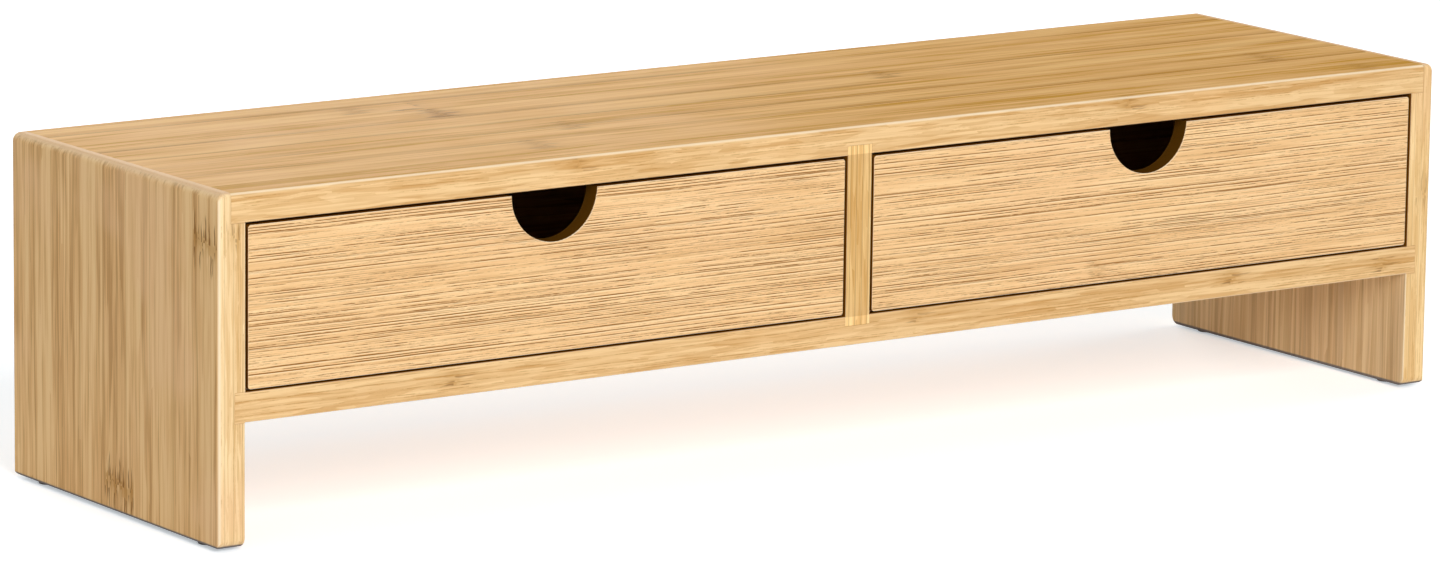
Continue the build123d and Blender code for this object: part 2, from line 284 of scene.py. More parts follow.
def strips_group():
    """Laminated strips: a steady tone for each, the joints between them and the streaks beside those."""
    tree, given, out = effect_group(
        "bamboo_strips",
        [
            ("Board", VECTOR, None),
            ("Strip Width", FLOAT, STRIP_WIDTH),
            ("Layer Thickness", FLOAT, LAYER_THICKNESS),
            ("Streak Width", FLOAT, 0.0042),
            ("Seed", FLOAT, 0.0),
        ],
        [("Tone", FLOAT), ("Joint", FLOAT), ("Streak", FLOAT)],
    )
    parts = split(tree, given["Board"])
    depth = compute(tree, "DIVIDE", compute(tree, "ADD", parts["Z"], LAYER_START), given["Layer Thickness"])
    layer = compute(tree, "FLOOR", depth)
    place = compute(tree, "DIVIDE", parts["Y"], given["Strip Width"])
    place = compute(tree, "ADD", place, scatter(tree, layer, given["Seed"]))
    number = compute(tree, "FLOOR", place)
    within = compute(tree, "MULTIPLY", compute(tree, "SUBTRACT", place, number), given["Strip Width"])
    beyond = compute(tree, "SUBTRACT", given["Strip Width"], within)
    below = compute(tree, "MULTIPLY", compute(tree, "SUBTRACT", depth, layer), given["Layer Thickness"])
    above = compute(tree, "SUBTRACT", given["Layer Thickness"], below)
    from_joint = compute(tree, "MINIMUM", within, beyond)
    from_joint = compute(tree, "MINIMUM", from_joint, compute(tree, "MINIMUM", below, above))
    joint = remap(tree, from_joint, 0.0, 0.00035, 1.0, 0.0)
    patchy = stretched_noise(tree, given["Board"], (6.0, 60.0, 60.0), given["Seed"], 2.0)
    heavy = scatter(tree, number, layer, compute(tree, "ADD", given["Seed"], 0.5))
    thread = remap(tree, within, 0.0, 0.0018, 1.0, 0.0)
    streak = remap(tree, within, 0.0, given["Streak Width"], 1.0, 0.0)
    streak = compute(tree, "MULTIPLY_ADD", streak, 0.6, thread)
    streak = compute(tree, "MULTIPLY", streak, remap(tree, patchy, 0.36, 0.60))
    streak = compute(tree, "MULTIPLY", streak, remap(tree, heavy, 0.15, 0.75, 0.1, 1.0), clamp=True)
    tree.links.new(scatter(tree, number, layer, given["Seed"]), out["Tone"])
    tree.links.new(joint, out["Joint"])
    tree.links.new(streak, out["Streak"])
    return tree


def reeds_group():
    """Long fibres side by side, each with a tone of its own, crisp borders and tapering ends."""
    tree, given, out = effect_group(
        "bamboo_reeds",
        [("Board", VECTOR, None), ("Length", FLOAT, 0.12), ("Width", FLOAT, 0.004), ("Seed", FLOAT, 0.0)],
        [("Tone", FLOAT)],
    )
    across = compute(tree, "DIVIDE", 1.0, given["Width"])
    scale = join(tree, compute(tree, "DIVIDE", 1.0, given["Length"]), across, across)
    offset = join(tree, given["Seed"], given["Seed"], given["Seed"])
    moved = vector_math(tree, "ADD", vector_math(tree, "MULTIPLY", given["Board"], scale), offset)
    inputs = {"Vector": moved, "Scale": 1.0, "Randomness": 1.0}
    cells = add_node(tree, "ShaderNodeTexVoronoi", inputs).outputs["Color"]
    tree.links.new(split(tree, cells)["X"], out["Tone"])
    return tree


def fibres_group():
    """Softer unevenness along the grain: broad bands, fine lines and hairlines."""
    tree, given, out = effect_group(
        "bamboo_fibres",
        [("Board", VECTOR, None), ("Seed", FLOAT, 0.0)],
        [("Bands", FLOAT), ("Lines", FLOAT), ("Hairs", FLOAT)],
    )
    for label, scale in FIBRE_SCALES:
        tree.links.new(stretched_noise(tree, given["Board"], scale, given["Seed"]), out[label])
    return tree


def dashes_group():
    """Thin dark fibre bundles laid open by the saw, row by row, each with a cream line below it, a painted
    highlight as of a lit ridge.
    """
    tree, given, out = effect_group(
        "sawn_dashes",
        [
            ("Board", VECTOR, None),
            ("Pitch", FLOAT, 0.0013),
            ("Length", FLOAT, 0.020),
            ("Thickness", FLOAT, 0.0005),
            ("Density", FLOAT, 0.5),
            ("Seed", FLOAT, 0.0),
        ],
        [("Dash", FLOAT), ("Ridge", FLOAT)],
    )
    parts = split(tree, given["Board"])
    across = compute(tree, "ADD", parts["Y"], parts["Z"])
    place = compute(tree, "DIVIDE", across, given["Pitch"])
    row = compute(tree, "FLOOR", place)
    centre = compute(tree, "MULTIPLY_ADD", scatter(tree, row, given["Seed"], 1.0), 0.44, 0.28)
    offset = compute(tree, "SUBTRACT", compute(tree, "FRACT", place), centre)
    offset = compute(tree, "MULTIPLY", offset, given["Pitch"])

    along = compute(tree, "DIVIDE", parts["X"], given["Length"])
    row_place = compute(tree, "MULTIPLY", scatter(tree, row, given["Seed"], 2.0), 500.0)
    line_inputs = {"Vector": join(tree, along, row_place), "Scale": 1.0, "Detail": 5.0, "Roughness": 0.72}
    run = add_node(tree, "ShaderNodeTexNoise", line_inputs).outputs["Fac"]
    crowding = stretched_noise(tree, given["Board"], (14.0, 150.0, 150.0), given["Seed"], 1.0)
    raised = compute(tree, "MULTIPLY_ADD", compute(tree, "SUBTRACT", crowding, 0.5), DASH_CROWDING, run)
    liking = compute(tree, "SUBTRACT", scatter(tree, row, given["Seed"], 3.0), 0.5)
    raised = compute(tree, "MULTIPLY_ADD", liking, ROW_LIKING, raised)
    limit = compute(tree, "MULTIPLY_ADD", given["Density"], -0.3, 0.65)
    strength = remap(tree, compute(tree, "SUBTRACT", raised, limit), 0.0, 0.20)

    half = compute(tree, "MULTIPLY", given["Thickness"], 0.5)
    half = compute(tree, "MULTIPLY", half, compute(tree, "MULTIPLY_ADD", strength, 0.5, 0.65))
    inner = compute(tree, "MULTIPLY", half, 0.5)
    dash = remap(tree, compute(tree, "ABSOLUTE", offset), inner, half, 1.0, 0.0)
    # The line below each dash carries a painted highlight
    below = compute(tree, "MULTIPLY_ADD", given["Thickness"], 1.1, offset)
    ridge = remap(tree, compute(tree, "ABSOLUTE", below), inner, half, 1.0, 0.0)
    tree.links.new(compute(tree, "MULTIPLY", dash, strength), out["Dash"])
    tree.links.new(compute(tree, "MULTIPLY", ridge, strength), out["Ridge"])
    return tree


def knuckle_place_group():
    """One joint of the stem on a board: points near its middle take their place beside it from here."""
    tree, given, out = effect_group(
        "knuckle_place",
        [
            ("Board", VECTOR, None),
            ("Middle", VECTOR, None),
            ("Half Width", FLOAT, 0.009),
            ("Strength", FLOAT, 1.0),
            ("Offset", VECTOR, None),
            ("Power", FLOAT, 0.0),
        ],
        [("Offset", VECTOR), ("Power", FLOAT)],
    )
    away = vector_math(tree, "SUBTRACT", given["Board"], given["Middle"])
    size = split(tree, vector_math(tree, "ABSOLUTE", away))
    near = compute(tree, "LESS_THAN", size["X"], 0.028)
    for part, limit in (("Y", given["Half Width"]), ("Z", KNUCKLE_DEPTH)):
        near = compute(tree, "MULTIPLY", near, compute(tree, "LESS_THAN", size[part], limit))
    offset = add_node(tree, "ShaderNodeMix", data_type="VECTOR")
    for index, value in {0: near, 4: given["Offset"], 5: away}.items():
        tree.links.new(value, offset.inputs[index])
    powers = {0: near, 2: given["Power"], 3: given["Strength"]}
    power = add_node(tree, "ShaderNodeMix", powers, data_type="FLOAT")
    tree.links.new(offset.outputs[1], out["Offset"])
    tree.links.new(power.outputs[0], out["Power"])
    return tree


def knuckle_group():
    """A joint of the stem laid open: dark and light strokes along the grain, and a smudge across it."""
    tree, given, out = effect_group(
        "stem_knuckle",
        [("Offset", VECTOR, None), ("Power", FLOAT, 0.0), ("Size", FLOAT, 1.0), ("Seed", FLOAT, 0.0)],
        [("Stroke", FLOAT), ("Light", FLOAT), ("Shade", FLOAT)],
    )
    scaled = vector_math(tree, "DIVIDE", given["Offset"], given["Size"])
    parts = split(tree, scaled)
    across = compute(tree, "ADD", parts["Y"], parts["Z"])
    ragged = stretched_noise(tree, scaled, (120.0, 420.0, 420.0), given["Seed"], 1.0)
    across = compute(tree, "MULTIPLY_ADD", compute(tree, "SUBTRACT", ragged, 0.5), 0.0020, across)
    bow = stretched_noise(tree, scaled, (0.0, 90.0, 90.0), given["Seed"], 1.0)
    along = compute(tree, "MULTIPLY_ADD", compute(tree, "SUBTRACT", bow, 0.5), 0.008, parts["X"])
    columns = compute(tree, "DIVIDE", across, KNUCKLE_COLUMN)
    column = compute(tree, "FLOOR", columns)
    side = compute(tree, "SIGN", along)
    draws = [
        scatter(tree, column, given["Seed"], compute(tree, "MULTIPLY_ADD", side, 0.25, number))
        for number in (1.0, 2.0, 3.0, 4.0)
    ]
    wobble = compute(tree, "MULTIPLY", compute(tree, "SUBTRACT", draws[0], 0.5), 0.004)
    reach = compute(tree, "ABSOLUTE", compute(tree, "ADD", along, wobble))
    first = compute(tree, "MULTIPLY", draws[1], 0.0025)
    last = compute(tree, "MULTIPLY_ADD", draws[2], 0.009, 0.0035)
    begun = remap(tree, compute(tree, "SUBTRACT", reach, first), -0.0003, 0.0006)
    ended = remap(tree, compute(tree, "SUBTRACT", last, reach), 0.0, 0.0045)
    middle = compute(tree, "ABSOLUTE", compute(tree, "SUBTRACT", compute(tree, "FRACT", columns), 0.5))
    profile = remap(tree, middle, 0.14, 0.46, 1.0, 0.0)
    mark = compute(tree, "MULTIPLY", compute(tree, "MULTIPLY", begun, ended), profile)
    mark = compute(tree, "MULTIPLY", mark, given["Power"])
    stroke = compute(tree, "MULTIPLY", mark, remap(tree, draws[3], 0.30, 0.55))
    light = compute(tree, "MULTIPLY", mark, remap(tree, draws[3], 0.30, 0.20))
    core = remap(tree, compute(tree, "ABSOLUTE", along), 0.0005, 0.0065, 1.0, 0.0)
    halo = remap(tree, compute(tree, "ABSOLUTE", along), 0.0, 0.020, 1.0, 0.0)
    shade = compute(tree, "MULTIPLY_ADD", halo, 0.45, compute(tree, "MULTIPLY", core, 0.55))
    tree.links.new(stroke, out["Stroke"])
    tree.links.new(light, out["Light"])
    tree.links.new(compute(tree, "MULTIPLY", shade, given["Power"]), out["Shade"])
    return tree


def cut_faces_group():
    """How a board's surface lies: across the grain, on a narrow edge, or on a sanded rounding."""
    tree, given, out = effect_group(
        "cut_faces",
        [("Normal", VECTOR, None)],
        [("End Grain", FLOAT), ("Narrow", FLOAT), ("Rounding", FLOAT)],
    )
    parts = split(tree, vector_math(tree, "ABSOLUTE", given["Normal"]))
    largest = compute(tree, "MAXIMUM", parts["X"], compute(tree, "MAXIMUM", parts["Y"], parts["Z"]))
    tree.links.new(remap(tree, parts["X"], 0.62, 0.92), out["End Grain"])
    tree.links.new(remap(tree, parts["Y"], 0.55, 0.85), out["Narrow"])
    # Where the painted highlight goes on the roundings
    rounding = remap(tree, largest, 0.78, 0.985, 1.0, 0.0)
    rounding = compute(tree, "MULTIPLY", rounding, remap(tree, parts["X"], 0.10, 0.45, 1.0, 0.25))
    tree.links.new(rounding, out["Rounding"])
    return tree


def bay_walls_group():
    """Where the painted shade goes inside the drawer bays, and where the painted light goes on the legs'
    inner faces below them.
    """
    tree, given, out = effect_group(
        "bay_walls", [("Point", VECTOR, None)], [("Inside", FLOAT), ("Below", FLOAT)]
    )
    parts = split(tree, given["Point"])
    sideways = compute(tree, "ABSOLUTE", parts["X"])
    inside = remap(tree, sideways, BAY_HALF_WIDTH, BAY_HALF_WIDTH + 0.0003, 1.0, 0.0)
    under = remap(tree, parts["Z"], BAY_FLOOR - 0.010, BAY_FLOOR - 0.009, 1.0, 0.0)
    tree.links.new(compute(tree, "MULTIPLY", inside, under), out["Below"])
    for part, low, high in (("Z", BAY_FLOOR, BAY_CEILING), ("Y", BAY_FRONT, 1.0)):
        above = remap(tree, parts[part], low - 0.0003, low)
        below = remap(tree, parts[part], high, high + 0.0003, 1.0, 0.0)
        inside = compute(tree, "MULTIPLY", inside, compute(tree, "MULTIPLY", above, below))
    tree.links.new(inside, out["Inside"])
    return tree


def notch_wall_group():
    """The wall of a drawer's finger notch, told from the other cut edges by its place, where the painted
    shade is darker.
    """
    tree, given, out = effect_group("notch_wall", [("Point", VECTOR, None)], [("Inside", FLOAT)])
    parts = split(tree, given["Point"])
    sideways = compute(tree, "SUBTRACT", compute(tree, "ABSOLUTE", parts["X"]), NOTCH_CENTRE[0])
    height = compute(tree, "SUBTRACT", parts["Z"], NOTCH_CENTRE[1])
    length = add_node(tree, "ShaderNodeVectorMath", {0: join(tree, sideways, height)}, operation="LENGTH")
    inside = remap(tree, length.outputs["Value"], NOTCH_RADIUS + 0.0005, NOTCH_RADIUS + 0.001, 1.0, 0.0)
    tree.links.new(inside, out["Inside"])
    return tree


def pores_group():
    """The dark dots of the fibre bundles where they are cut across."""
    tree, given, out = effect_group(
        "end_pores", [("Point", VECTOR, None), ("Scale", FLOAT, 1100.0)], [("Pore", FLOAT)]
    )
    inputs = {"Vector": given["Point"], "Scale": given["Scale"], "Randomness": 0.9}
    cells = add_node(tree, "ShaderNodeTexVoronoi", inputs).outputs["Distance"]
    tree.links.new(remap(tree, cells, 0.12, 0.42, 1.0, 0.0), out["Pore"])
    return tree


def patches_group():
    """Soft uneven patches in a finish, and its fine specks."""
    tree, given, out = effect_group(
        "finish_patches",
        [("Point", VECTOR, None), ("Seed", FLOAT, 0.0)],
        [("Patch", FLOAT), ("Speck", FLOAT)],
    )
    for label, scale in (("Patch", (14.0, 14.0, 14.0)), ("Speck", (900.0, 900.0, 900.0))):
        tree.links.new(stretched_noise(tree, given["Point"], scale, given["Seed"], 3.0), out[label])
    return tree


EFFECTS = {
    "drift": drift_group(),
    "strips": strips_group(),
    "reeds": reeds_group(),
    "fibres": fibres_group(),
    "dashes": dashes_group(),
    "knuckle_place": knuckle_place_group(),
    "knuckle": knuckle_group(),
    "cut_faces": cut_faces_group(),
    "bay_walls": bay_walls_group(),
    "notch_wall": notch_wall_group(),
    "pores": pores_group(),
    "patches": patches_group(),
}


def effect(tree, name, **inputs):
    """One of the shared effects, placed in a material: its outputs."""
    made = tree.nodes.new("ShaderNodeGroup")
    made.node_tree = EFFECTS[name]
    for key, value in inputs.items():
        label = key.replace("_", " ").title()
        if isinstance(value, bpy.types.NodeSocket):
            tree.links.new(value, made.inputs[label])
        else:
            made.inputs[label].default_value = value
    return made.outputs


def new_material(name):
    """An empty node material: its tree and its Principled shader."""
    material = bpy.data.materials.new(name)
    material.use_nodes = True
    tree = material.node_tree
    return material, tree, tree.nodes["Principled BSDF"]


# How strongly each trait of the bamboo shows on a board, and how strongly its painted highlights, shade and
# light show
PLAIN_LOOK = {
    "strip_width": STRIP_WIDTH,
    "layer": LAYER_THICKNESS,
    "drift": 0.0010,
    "tone": 0.45,
    "strips": 0.35,
    "reeds": 0.35,
    "fine_reeds": 0.30,
    "bands": 0.45,
    "lines": 0.35,
    "hairs": 0.25,
    "blush": 0.35,
    "streaks": 0.5,
    "streak_width": 0.0042,
    "joints": 0.35,
    "knuckles": (),
    "knuckle_size": 1.0,
    "knuckle_shade": 0.45,
    "knuckle_light": 0.6,
    "knuckle_stroke": 0.80,
    "dashes": 0.0,
    "density": 0.5,
    # The painted highlight on the roundings
    "rounding": 0.8,
    # Painted shade, with scorch, on a drawer front's cut edges
    "cut_wall_shade": 0.0,
    # Painted shade on the walls inside the drawer bays
    "inner_walls": 0.0,
    # Painted light on the legs' inner faces under the shelf
    "painted_light_below": 0.0,
    # Painted contact shadow at the legs' lower ends
    "foot_shadow": 0.0,
    "narrow_swing": 1.0,
    "edge_dashes": 0.0,
    "bump": 0.22,
    "deep": DEEP_WOOD,
    "tint": (1.0, 1.0, 1.0),
    "narrow_tint": (1.0, 1.0, 1.0),
    "coat": 0.20,
    "coat_roughness": 0.38,
    "roughness": 0.62,
}


def board_axes(tree, texture, axes):
    """Object coordinates and normals in the board's order: along the grain, across it, through it."""
    ordered = []
    for source in ("Object", "Normal"):
        parts = split(tree, texture[source])
        ordered.append(join(tree, *[parts[axis] for axis in axes]))
    return ordered


def tinted(colour, tint):
    """A wood colour, leaned towards a board's own tint."""
    return tuple(channel * part for channel, part in zip(colour, tint))


def add_swings(tree, start, swings):
    """A tone with each value's swing about its middle added, held from zero to one."""
    tone = start
    for value, strength in swings:
        tone = compute(tree, "MULTIPLY_ADD", compute(tree, "SUBTRACT", value, 0.5), strength, tone)
    return compute(tree, "ADD", tone, 0.0, clamp=True)


def broad_face_colour(tree, board, strips, fibres, look, seed):
    """The wood on a board's broad faces, from strips, reeds and fibres."""
    wide = effect(tree, "reeds", board=board, seed=seed, **WIDE_REEDS)["Tone"]
    fine = effect(tree, "reeds", board=board, seed=seed + 9.0, **FINE_REEDS)["Tone"]
    tone = add_swings(
        tree,
        look["tone"],
        (
            (strips["Tone"], look["strips"]),
            (wide, look["reeds"]),
            (fine, look["fine_reeds"]),
            (fibres["Bands"], look["bands"] * 2.0),
            (fibres["Lines"], look["lines"] * 2.0),
            (fibres["Hairs"], look["hairs"] * 2.0),
        ),
    )
    pale, mid, deep = [tinted(wood, look["tint"]) for wood in (PALE_WOOD, MID_WOOD, look["deep"])]
    colour = mix_colour(tree, remap(tree, tone, 0.0, 0.55), pale, mid)
    colour = mix_colour(tree, remap(tree, tone, 0.45, 1.0), colour, deep)
    return mix_colour(tree, times(tree, strips["Streak"], look["streaks"]), colour, STREAK_BROWN)


def narrow_edge_colour(tree, board, strips, fibres, look, seed):
    """The wood on a board's narrow edges: paler, with short fine fibres in each layer."""
    short = effect(tree, "reeds", board=board, seed=seed + 3.0, **SHORT_EDGE_REEDS)["Tone"]
    longer = effect(tree, "reeds", board=board, seed=seed + 5.0, **LONG_EDGE_REEDS)["Tone"]
    tone = add_swings(
        tree,
        0.42,
        [
            (value, strength * look["narrow_swing"])
            for value, strength in (
                (strips["Tone"], 0.35),
                (short, 0.70),
                (longer, 0.60),
                (fibres["Bands"], 0.9),
                (fibres["Hairs"], 0.8),
            )
        ],
    )
    pale, deep = [tinted(wood, look["narrow_tint"]) for wood in (NARROW_PALE, NARROW_DEEP)]
    return mix_colour(tree, tone, pale, deep)


def times(tree, value, strength):
    """A value times its strength."""
    return compute(tree, "MULTIPLY", value, strength)


def add_edge_flecks(tree, colour, board, narrow_faces, look, seed):
    """Short dark flecks on the narrow edges."""
    flecks = effect(tree, "dashes", board=board, seed=seed + 70.0, **EDGE_FLECKS)
    flecks = times(tree, times(tree, flecks["Dash"], narrow_faces), look["edge_dashes"])
    return mix_colour(tree, flecks, colour, STREAK_BROWN)


def add_sawn_rows(tree, colour, relief, board, look, seed):
    """Rows of fibre bundles laid open by the saw, in the colour with a painted highlight below each, and in
    the relief.
    """
    for pitch, length, thickness, extra, weight in SAWN_ROWS:
        sizes = {"pitch": pitch, "length": length, "thickness": thickness}
        sawn = effect(tree, "dashes", board=board, density=look["density"], seed=seed + extra, **sizes)
        strength = look["dashes"] * weight
        colour = mix_colour(tree, times(tree, sawn["Ridge"], strength * RIDGE_HIGHLIGHT_SHARE), colour, RIDGE_HIGHLIGHT_CREAM)
        colour = mix_colour(tree, times(tree, sawn["Dash"], strength), colour, DASH_BROWN)
        relief = compute(tree, "MULTIPLY_ADD", sawn["Dash"], -0.6, relief)
    return colour, relief


def add_knuckles(tree, colour, board, look, seed):
    """The joints of the stem, each at its own place on the board."""
    offset, power = (0.0, 0.0, 0.0), 0.0
    for along, across, through, half_width, strength in look["knuckles"]:
        placed = effect(
            tree,
            "knuckle_place",
            board=board,
            middle=(along, across, through),
            half_width=half_width,
            strength=strength,
            offset=offset,
            power=power,
        )
        offset, power = placed["Offset"], placed["Power"]
    mark = effect(tree, "knuckle", offset=offset, power=power, size=look["knuckle_size"], seed=seed)
    for part, strength, mark_colour in (
        ("Shade", look["knuckle_shade"], STREAK_BROWN),
        ("Light", look["knuckle_light"], NARROW_PALE),
        ("Stroke", look["knuckle_stroke"], KNUCKLE_BROWN),
    ):
        colour = mix_colour(tree, times(tree, mark[part], strength), colour, mark_colour)
    return colour


def add_cut_walls(tree, colour, texture, look):
    """A drawer front's cut edges and notch in dark brown, partly scorched wood and partly painted shade in
    the gaps: the colour, and how bare of lacquer it is.
    """
    facing = compute(tree, "ABSOLUTE", split(tree, texture["Normal"])["Y"])
    bare = remap(tree, facing, 0.25, 0.60, look["cut_wall_shade"], 0.0)
    notch = effect(tree, "notch_wall", point=texture["Object"])["Inside"]
    wall = mix_colour(tree, notch, PAINTED_SHADE_BROWN, NOTCH_SHADE_BROWN)
    return mix_colour(tree, bare, colour, wall), bare


def add_inner_walls(tree, colour, texture, board, look, seed):
    """The bay walls in painted shade and the legs' inner faces in painted light: the colour, and how bare of
    lacquer it is.
    """
    walls = effect(tree, "bay_walls", point=texture["Object"])
    bare = times(tree, walls["Inside"], look["inner_walls"])
    colour = mix_colour(tree, bare, colour, PAINTED_SHADE_BROWN)
    # Painted light: paler, greyer striped wood on the legs' inner faces under the shelf
    if look["painted_light_below"]:
        stripes = effect(tree, "reeds", board=board, seed=seed + 13.0, **LEG_STRIPES)["Tone"]
        dull = mix_colour(tree, stripes, PAINTED_LIGHT_WOOD, PAINTED_LIGHT_DEEP_WOOD)
        colour = mix_colour(tree, times(tree, walls["Below"], look["painted_light_below"]), colour, dull)
    return colour, bare


def add_foot_edge(tree, colour, texture, look):
    """Painted contact shadow, grey, at the lower end of a leg."""
    height = split(tree, texture["Object"])["Z"]
    fade_end = FOOT_SHADOW_HEIGHT + FOOT_SHADOW_FADE
    foot_shade = remap(tree, height, FOOT_SHADOW_HEIGHT, fade_end, look["foot_shadow"], 0.0)
    return mix_colour(tree, foot_shade, colour, FOOT_SHADOW_GREY)


def lacquer_wood(tree, shader, look, patches, fibres, relief, bare):
    """The satin surface: roughness, a thin coat that leaves bare wood out, and the relief."""
    gloss = remap(tree, patches["Patch"], 0.3, 0.7, look["roughness"] - 0.05, look["roughness"] + 0.06)
    gloss = compute(tree, "MULTIPLY_ADD", fibres["Hairs"], 0.06, gloss)
    tree.links.new(gloss, shader.inputs["Roughness"])
    shader.inputs["Specular IOR Level"].default_value = 0.0
    lacquer = remap(tree, patches["Patch"], 0.3, 0.7, look["coat"] * 0.85, look["coat"] * 1.15)
    lacquer = times(tree, lacquer, compute(tree, "SUBTRACT", 1.0, bare, clamp=True))
    tree.links.new(lacquer, shader.inputs["Coat Weight"])
    shader.inputs["Coat Roughness"].default_value = look["coat_roughness"]
    link_bump(tree, shader, relief, look["bump"], WOOD_RELIEF)


def link_bump(tree, shader, height, strength, depth):
    """Fine relief in a material's surface."""
    bump = add_node(tree, "ShaderNodeBump", {"Height": height, "Strength": strength, "Distance": depth})
    tree.links.new(bump.outputs["Normal"], shader.inputs["Normal"])


def bamboo(name, axes, seed, **changes):
    """Laminated bamboo under satin lacquer, with its grain along the first of its axes."""
    look = {**PLAIN_LOOK, **changes}
    material, tree, shader = new_material(name)
    texture = tree.nodes.new("ShaderNodeTexCoord").outputs
    straight, normal = board_axes(tree, texture, axes)
    board = effect(tree, "drift", board=straight, amount=look["drift"], seed=seed)["Board"]
    strips = effect(
        tree,
        "strips",
        board=board,
        strip_width=look["strip_width"],
        layer_thickness=look["layer"],
        streak_width=look["streak_width"],
        seed=seed,
    )
    fibres = effect(tree, "fibres", board=board, seed=seed)
    faces = effect(tree, "cut_faces", normal=normal)
    pores = effect(tree, "pores", point=straight)
    patches = effect(tree, "patches", point=texture["Object"], seed=seed)

    broad = broad_face_colour(tree, board, strips, fibres, look, seed)
    narrow = narrow_edge_colour(tree, board, strips, fibres, look, seed)
    colour = mix_colour(tree, faces["Narrow"], broad, narrow)
    blush = remap(tree, patches["Patch"], 0.50, 0.66, 0.0, look["blush"])
    colour = mix_colour(tree, blush, colour, tinted(PINK_WOOD, look["tint"]))
    relief = compute(tree, "MULTIPLY_ADD", fibres["Lines"], 0.4, times(tree, fibres["Hairs"], 0.35))
    relief = compute(tree, "MULTIPLY_ADD", strips["Joint"], -look["joints"], relief)
    if look["edge_dashes"]:
        colour = add_edge_flecks(tree, colour, board, faces["Narrow"], look, seed)
    if look["dashes"]:
        colour, relief = add_sawn_rows(tree, colour, relief, board, look, seed)
    colour = mix_colour(tree, times(tree, strips["Joint"], look["joints"]), colour, GLUE_BROWN)
    if look["knuckles"]:
        colour = add_knuckles(tree, colour, board, look, seed)
    end_colour = mix_colour(tree, times(tree, pores["Pore"], 0.25), END_GRAIN_CREAM, END_GRAIN_DOT)
    colour = mix_colour(tree, times(tree, faces["End Grain"], 0.9), colour, end_colour)
    # Painted highlight: a pale colour on the roundings, in place of light caught there
    colour = mix_colour(tree, times(tree, faces["Rounding"], look["rounding"]), colour, ROUNDING_HIGHLIGHT_PALE)
    bare = 0.0
    # Painted shade, with scorch, on a drawer front's cut edges and notch
    if look["cut_wall_shade"]:
        colour, bare = add_cut_walls(tree, colour, texture, look)
    # Painted shade inside the bays, and painted light on the legs' inner faces below them
    if look["inner_walls"]:
        colour, bare = add_inner_walls(tree, colour, texture, board, look, seed)
    # Painted contact shadow at the legs' lower ends
    if look["foot_shadow"]:
        colour = add_foot_edge(tree, colour, texture, look)
    tree.links.new(colour, shader.inputs["Base Color"])
    lacquer_wood(tree, shader, look, patches, fibres, relief, bare)
    return material


def rubber():
    """Grey rubber with a dusty bloom and a fine grain."""
    material, tree, shader = new_material("grey_rubber")
    texture = tree.nodes.new("ShaderNodeTexCoord").outputs
    patches = effect(tree, "patches", point=texture["Object"], seed=3.0)
    colour = mix_colour(tree, remap(tree, patches["Patch"], 0.35, 0.65), RUBBER_DARK, RUBBER_DUSTY)
    tree.links.new(colour, shader.inputs["Base Color"])
    tree.links.new(remap(tree, patches["Speck"], 0.3, 0.7, 0.72, 0.92), shader.inputs["Roughness"])
    link_bump(tree, shader, patches["Speck"], 0.35, RUBBER_RELIEF)
    return material


def brad_steel():
    """Bright drawn steel with faint scratches."""
    material, tree, shader = new_material("bright_brad_steel")
    texture = tree.nodes.new("ShaderNodeTexCoord").outputs
    patches = effect(tree, "patches", point=texture["Object"], seed=8.0)
    colour = mix_colour(tree, remap(tree, patches["Speck"], 0.35, 0.65), STEEL_DULL, STEEL_BRIGHT)
    tree.links.new(colour, shader.inputs["Base Color"])
    tree.links.new(remap(tree, patches["Patch"], 0.3, 0.7, 0.24, 0.42), shader.inputs["Roughness"])
    shader.inputs["Metallic"].default_value = 1.0
    link_bump(tree, shader, patches["Speck"], 0.2, STEEL_RELIEF)
    return material


def dress(node, material):
    """Gives a frame node its material."""
    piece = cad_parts[node]
    piece.data.materials.clear()
    piece.data.materials.append(material)


# Knuckles: place along the grain, across it and through the board, half the strip's width, strength
DECK_KNUCKLES = (
    (-0.137, 0.052, 0.140, 0.0095, 1.0),
    (-0.158, 0.053, 0.140, 0.0080, 0.5),
    (-0.131, 0.031, 0.140, 0.0095, 1.0),
    (-0.101, -0.020, 0.140, 0.009, 0.5),
    (-0.136, -0.050, 0.140, 0.010, 0.5),
    (0.080, 0.017, 0.140, 0.009, 0.55),
    (0.247, -0.030, 0.140, 0.011, 0.5),
    (0.268, -0.069, 0.140, 0.008, 0.4),
    (-0.136, -0.080, 0.1362, 0.003, 0.45),
    (0.136, -0.080, 0.1370, 0.003, 0.55),
    (0.052, 0.080, 0.1340, 0.003, 0.8),
    (0.120, 0.030, 0.128, 0.009, 0.6),
)
SHELF_KNUCKLES = (
    (-0.193, -0.080, 0.0570, 0.003, 0.8),
    (0.030, -0.080, 0.0590, 0.003, 0.5),
    (0.193, -0.080, 0.0585, 0.003, 0.8),
    (0.275, -0.080, 0.0555, 0.003, 0.8),
    (-0.150, 0.080, 0.0560, 0.003, 0.8),
    (-0.060, 0.020, 0.050, 0.009, 0.7),
    (0.170, -0.030, 0.050, 0.009, 0.6),
)
LEFT_SIDE_KNUCKLES = (
    (0.1195, -0.0700, -0.300, 0.0088, 1.0),
    (0.0125, -0.0040, -0.300, 0.0110, 1.0),
    (0.1225, -0.080, -0.2935, 0.003, 0.5),
    (0.030, 0.030, -0.288, 0.009, 0.6),
)
RIGHT_SIDE_KNUCKLES = (
    (0.098, -0.041, 0.300, 0.0095, 0.9),
    (0.034, 0.046, 0.300, 0.0095, 0.8),
    (0.085, -0.080, 0.2950, 0.003, 0.4),
)
BACK_KNUCKLES = (
    (-0.170, 0.104, 0.075, 0.010, 0.8),
    (0.090, 0.078, 0.075, 0.010, 0.8),
    (0.212, 0.116, 0.075, 0.010, 0.7),
)
FRONT_KNUCKLES = ((0.121, 0.069, -0.080, 0.004, 0.4),)


